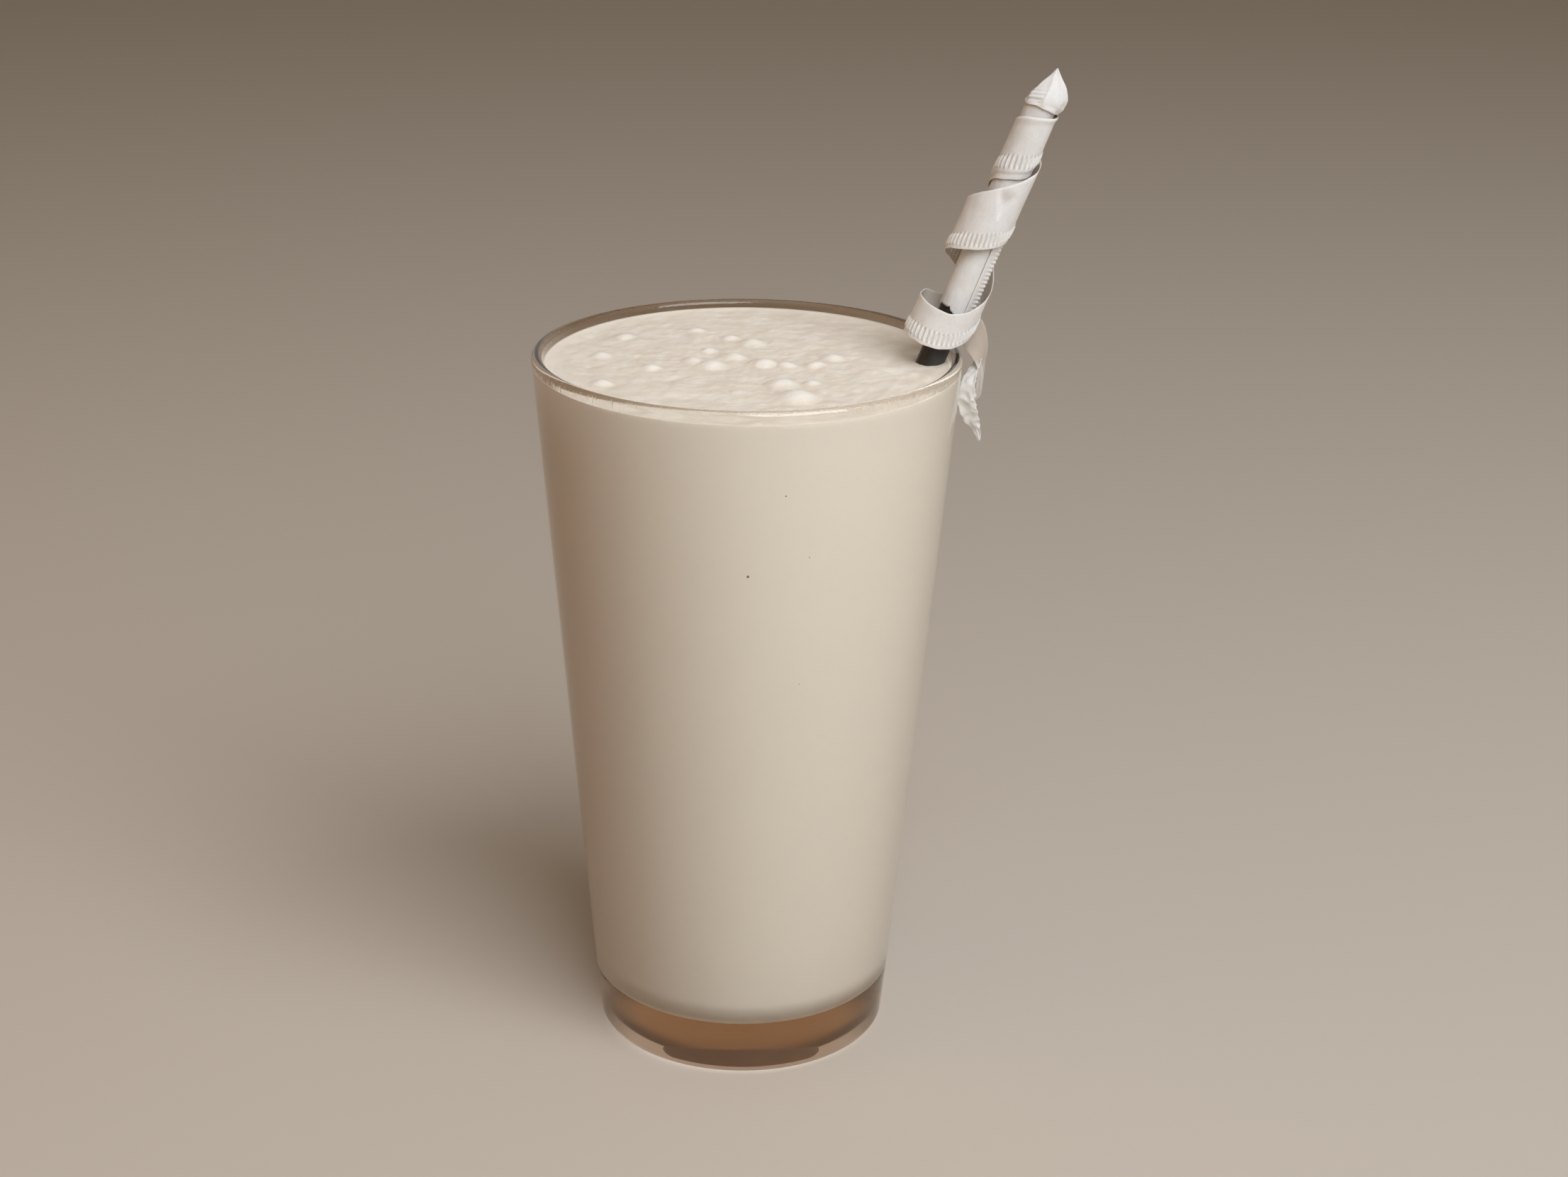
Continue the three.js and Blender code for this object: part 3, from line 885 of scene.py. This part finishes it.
def milky_drink(drink):
    """Milky drink, paler and finely pitted where it froths; painted shade towards its bottom, painted
    light on its underside, and painted highlights and shade on the froth.
    """
    material, tree, shader, place = new_material("milky_drink")
    _, _, height = parts_of(tree, place)
    foam = own_value(tree, "foam")
    cloud = noise_node(tree, place, 160.0, 5.0, 0.6)
    froth = mixed_colour(tree, mapped(tree, cloud, 0.35, 0.65, 0.0, 1.0), drink.mottle_and_shade, drink.froth)
    # Low paleness turns the froth darker: random mottle, and painted shade in the rings round the
    # bubbles.
    froth = mixed_colour(tree, mapped(tree, foam, 0.0, 0.5, 0.7, 0.0), froth, drink.mottle_and_shade)
    # Painted highlight: high paleness turns the bubbles' tops paler.
    froth = mixed_colour(tree, mapped(tree, foam, 0.5, 1.0, 0.0, 0.7), froth, drink.lit_dome)
    at_top = mapped(tree, foam, -0.1, 0.0, 0.0, 1.0)
    # Painted shade: the body darkens towards the bottom.
    shaded_milk = tuple(c * 0.92 for c in drink.milk)
    body = mixed_colour(tree, mapped(tree, height, 0.01, 0.14, 0.0, 1.0), shaded_milk, drink.milk)
    # Painted light: the drink turns paler near the base, on its underside.
    body = mixed_colour(tree, mapped(tree, height, 0.0104, 0.0125, 1.0, 0.0), body, drink.lit_underside)
    for *spot, radius in SPECKS:
        gap = distance_to(tree, place, [c * MM for c in spot])
        dark = mapped(tree, gap, 0.6 * radius * MM, radius * MM, 0.9, 0.0)
        body = mixed_colour(tree, dark, body, drink.speck)
    tree.links.new(mixed_colour(tree, at_top, body, froth), shader.inputs["Base Color"])
    shader.inputs["Roughness"].default_value = 0.42
    shader.inputs["Specular IOR Level"].default_value = 0.35
    shader.inputs["Subsurface Weight"].default_value = 0.12
    shader.inputs["Subsurface Radius"].default_value = (0.002, 0.0014, 0.001)
    shader.inputs["Subsurface Scale"].default_value = 1.0
    pits = product(tree, noise_node(tree, place, 1400.0, 2.0), at_top)
    soft = product(tree, noise_node(tree, place, 520.0, 3.0), at_top)
    fine = bump(tree, pits, 0.2, 0.0002)
    tree.links.new(bump(tree, soft, 0.3, 0.0004, fine), shader.inputs["Normal"])
    return material


def black_plastic(straw):
    """Black plastic with faint drawn streaks."""
    material, tree, shader, place = new_material("black_plastic")
    streak = noise_node(tree, place, 900.0, 3.0)
    dull = noise_node(tree, place, 120.0, 4.0)
    dark = tuple(straw.black)
    light = tuple(min(c * 1.9 + 0.006, 1.0) for c in dark)
    tree.links.new(mixed_colour(tree, streak, dark, light), shader.inputs["Base Color"])
    tree.links.new(mapped(tree, dull, 0.3, 0.7, 0.3, 0.5), shader.inputs["Roughness"])
    tree.links.new(bump(tree, streak, 0.12, 0.0001), shader.inputs["Normal"])
    return material


def thin_paper(paper, name):
    """Thin white paper: fibres, slight mottle and a matt face, with painted shade where the mesh's
    inside value says.
    """
    material, tree, shader, place = new_material(name)
    mottle = noise_node(tree, place, 260.0, 6.0, 0.65)
    fibre = noise_node(tree, place, 2600.0, 4.0, 0.6)
    base = mixed_colour(tree, mapped(tree, mottle, 0.35, 0.7, 0.0, 1.0), paper.white, paper.shade)
    lighter = tuple(min(c * 1.08, 1.0) for c in paper.white)
    face = mixed_colour(tree, mapped(tree, fibre, 0.45, 0.75, 0.0, 0.5), base, lighter)
    # Painted shade: the inside value darkens the ribbon's inner face and the tail's side towards -Y.
    face = mixed_colour(tree, own_value(tree, "inside"), face, paper.inner)
    tree.links.new(face, shader.inputs["Base Color"])
    shader.inputs["Roughness"].default_value = 0.85
    shader.inputs["Specular IOR Level"].default_value = 0.25
    shader.inputs["Subsurface Weight"].default_value = 0.15
    shader.inputs["Subsurface Radius"].default_value = (0.0012, 0.0009, 0.0006)
    shader.inputs["Subsurface Scale"].default_value = 1.0
    rough = bump(tree, fibre, 0.25, 0.00008)
    tree.links.new(bump(tree, mottle, 0.25, 0.0003, rough), shader.inputs["Normal"])
    return material


# Stage


def area_light(name, place, width, watts, tint):
    """A soft square lamp that faces the glass."""
    lamp = bpy.data.lights.new(name, "AREA")
    lamp.shape = "SQUARE"
    lamp.size = width
    lamp.energy = watts
    lamp.color = tint
    light = bpy.data.objects.new(name, lamp)
    bpy.context.scene.collection.objects.link(light)
    light.location = place
    light.rotation_euler = (Vector(LAMP_AIM) - Vector(place)).to_track_quat("-Z", "Y").to_euler()


def studio_air(tree, air, stage):
    """Dim warm air all round, with soft level bands far behind that the clear base shows."""
    coords = tree.nodes.new("ShaderNodeTexCoord")
    _, depth, height = parts_of(tree, coords.outputs["Generated"])
    bands = tree.nodes.new("ShaderNodeValToRGB")
    rows = (
        (0.0, stage.back_low),
        (0.472, stage.back_low),
        (0.479, stage.back_dark),
        (0.487, stage.back_dark),
        (0.493, stage.back_brown),
        (0.53, stage.back_brown),
        (0.65, stage.air),
    )
    steps = bands.color_ramp.elements
    while len(steps) < len(rows):
        steps.new(1.0)
    for step, (place, tone) in zip(steps, rows):
        step.position = place
        step.color = (*tone, 1.0)
    tree.links.new(height, bands.inputs["Fac"])
    behind = mapped(tree, depth, 0.35, 0.7, 0.0, 1.0)
    light = mixed_colour(tree, behind, stage.air, bands.outputs["Color"])
    tree.links.new(light, air.inputs["Color"])


class EGGCREAM_OT_stage(bpy.types.Operator):
    """Build the floor, the lights and the camera."""

    bl_idname = "egg_cream.stage"
    bl_label = "Stage"

    def execute(self, context):
        scene = context.scene
        stage = scene.egg_cream_stage
        bm = bmesh.new()
        lowered = Matrix.Translation(-UP * stage.floor_gap)
        bmesh.ops.create_grid(bm, x_segments=2, y_segments=2, size=FLOOR_SIZE, matrix=lowered)
        mesh = bpy.data.meshes.new("floor")
        bm.to_mesh(mesh)
        bm.free()
        floor = bpy.data.objects.new("floor", mesh)
        scene.collection.objects.link(floor)
        material, _, shader, _ = new_material("floor_paint")
        shader.inputs["Base Color"].default_value = (*stage.floor, 1.0)
        shader.inputs["Roughness"].default_value = 0.8
        mesh.materials.append(material)

        world = bpy.data.worlds.new("studio_air")
        world.use_nodes = True
        air = next(n for n in world.node_tree.nodes if n.type == "BACKGROUND")
        studio_air(world.node_tree, air, stage)
        scene.world = world
        scene.view_settings.view_transform = "Standard"

        for name, place, width, tint in LAMPS:
            area_light(name, place, width, getattr(stage, name + "_power"), tint)

        lens = bpy.data.cameras.new("photo_camera")
        lens.sensor_width = CAMERA_SENSOR
        lens.lens = CAMERA_LENS
        lens.clip_start = 0.01
        camera = bpy.data.objects.new("photo_camera", lens)
        scene.collection.objects.link(camera)
        yaw, pitch, roll = CAMERA_TURN
        level = Vector((math.cos(yaw), -math.sin(yaw), 0.0))
        ahead = UP.cross(level) * math.cos(pitch) - UP * math.sin(pitch)
        above = level.cross(ahead)
        right = level * math.cos(roll) + above * math.sin(roll)
        top = above * math.cos(roll) - level * math.sin(roll)
        turned = Matrix((right, top, -ahead)).transposed().to_4x4()
        turned.translation = CAMERA_PLACE
        camera.matrix_world = turned
        scene.camera = camera
        return {"FINISHED"}


class EGGCREAM_PT_pieces(bpy.types.Panel):
    """Pieces of the egg cream."""

    bl_label = "Egg Cream"
    bl_idname = "EGGCREAM_PT_pieces"
    bl_space_type = "VIEW_3D"
    bl_region_type = "UI"
    bl_category = "Egg Cream"

    def draw(self, context):
        for piece in PIECES:
            self.layout.operator(piece.bl_idname)
        for name in SETTINGS:
            box = self.layout.box()
            settings = getattr(context.scene, name)
            for key in settings.bl_rna.properties.keys():
                if key not in {"rna_type", "name"}:
                    box.prop(settings, key)


PIECES = (
    EGGCREAM_OT_glass,
    EGGCREAM_OT_drink,
    EGGCREAM_OT_straw,
    EGGCREAM_OT_sleeve,
    EGGCREAM_OT_ribbon,
    EGGCREAM_OT_stage,
)
SETTINGS = {
    "egg_cream_glass": EggCreamGlass,
    "egg_cream_drink": EggCreamDrink,
    "egg_cream_straw": EggCreamStraw,
    "egg_cream_paper": EggCreamPaper,
    "egg_cream_stage": EggCreamStage,
}


def register():
    """Register the settings, the operators and the panel."""
    for cls in (*SETTINGS.values(), *PIECES, EGGCREAM_PT_pieces):
        bpy.utils.register_class(cls)
    for name, group in SETTINGS.items():
        setattr(bpy.types.Scene, name, PointerProperty(type=group))


def unregister():
    """Take everything out again."""
    for name in SETTINGS:
        delattr(bpy.types.Scene, name)
    for cls in (EGGCREAM_PT_pieces, *reversed(PIECES), *reversed(list(SETTINGS.values()))):
        bpy.utils.unregister_class(cls)


def main():
    """Build every piece and the stage."""
    register()
    bpy.ops.egg_cream.glass()
    bpy.ops.egg_cream.drink()
    bpy.ops.egg_cream.straw()
    bpy.ops.egg_cream.sleeve()
    bpy.ops.egg_cream.ribbon()
    bpy.ops.egg_cream.stage()


if __name__ == "__main__":
    main()
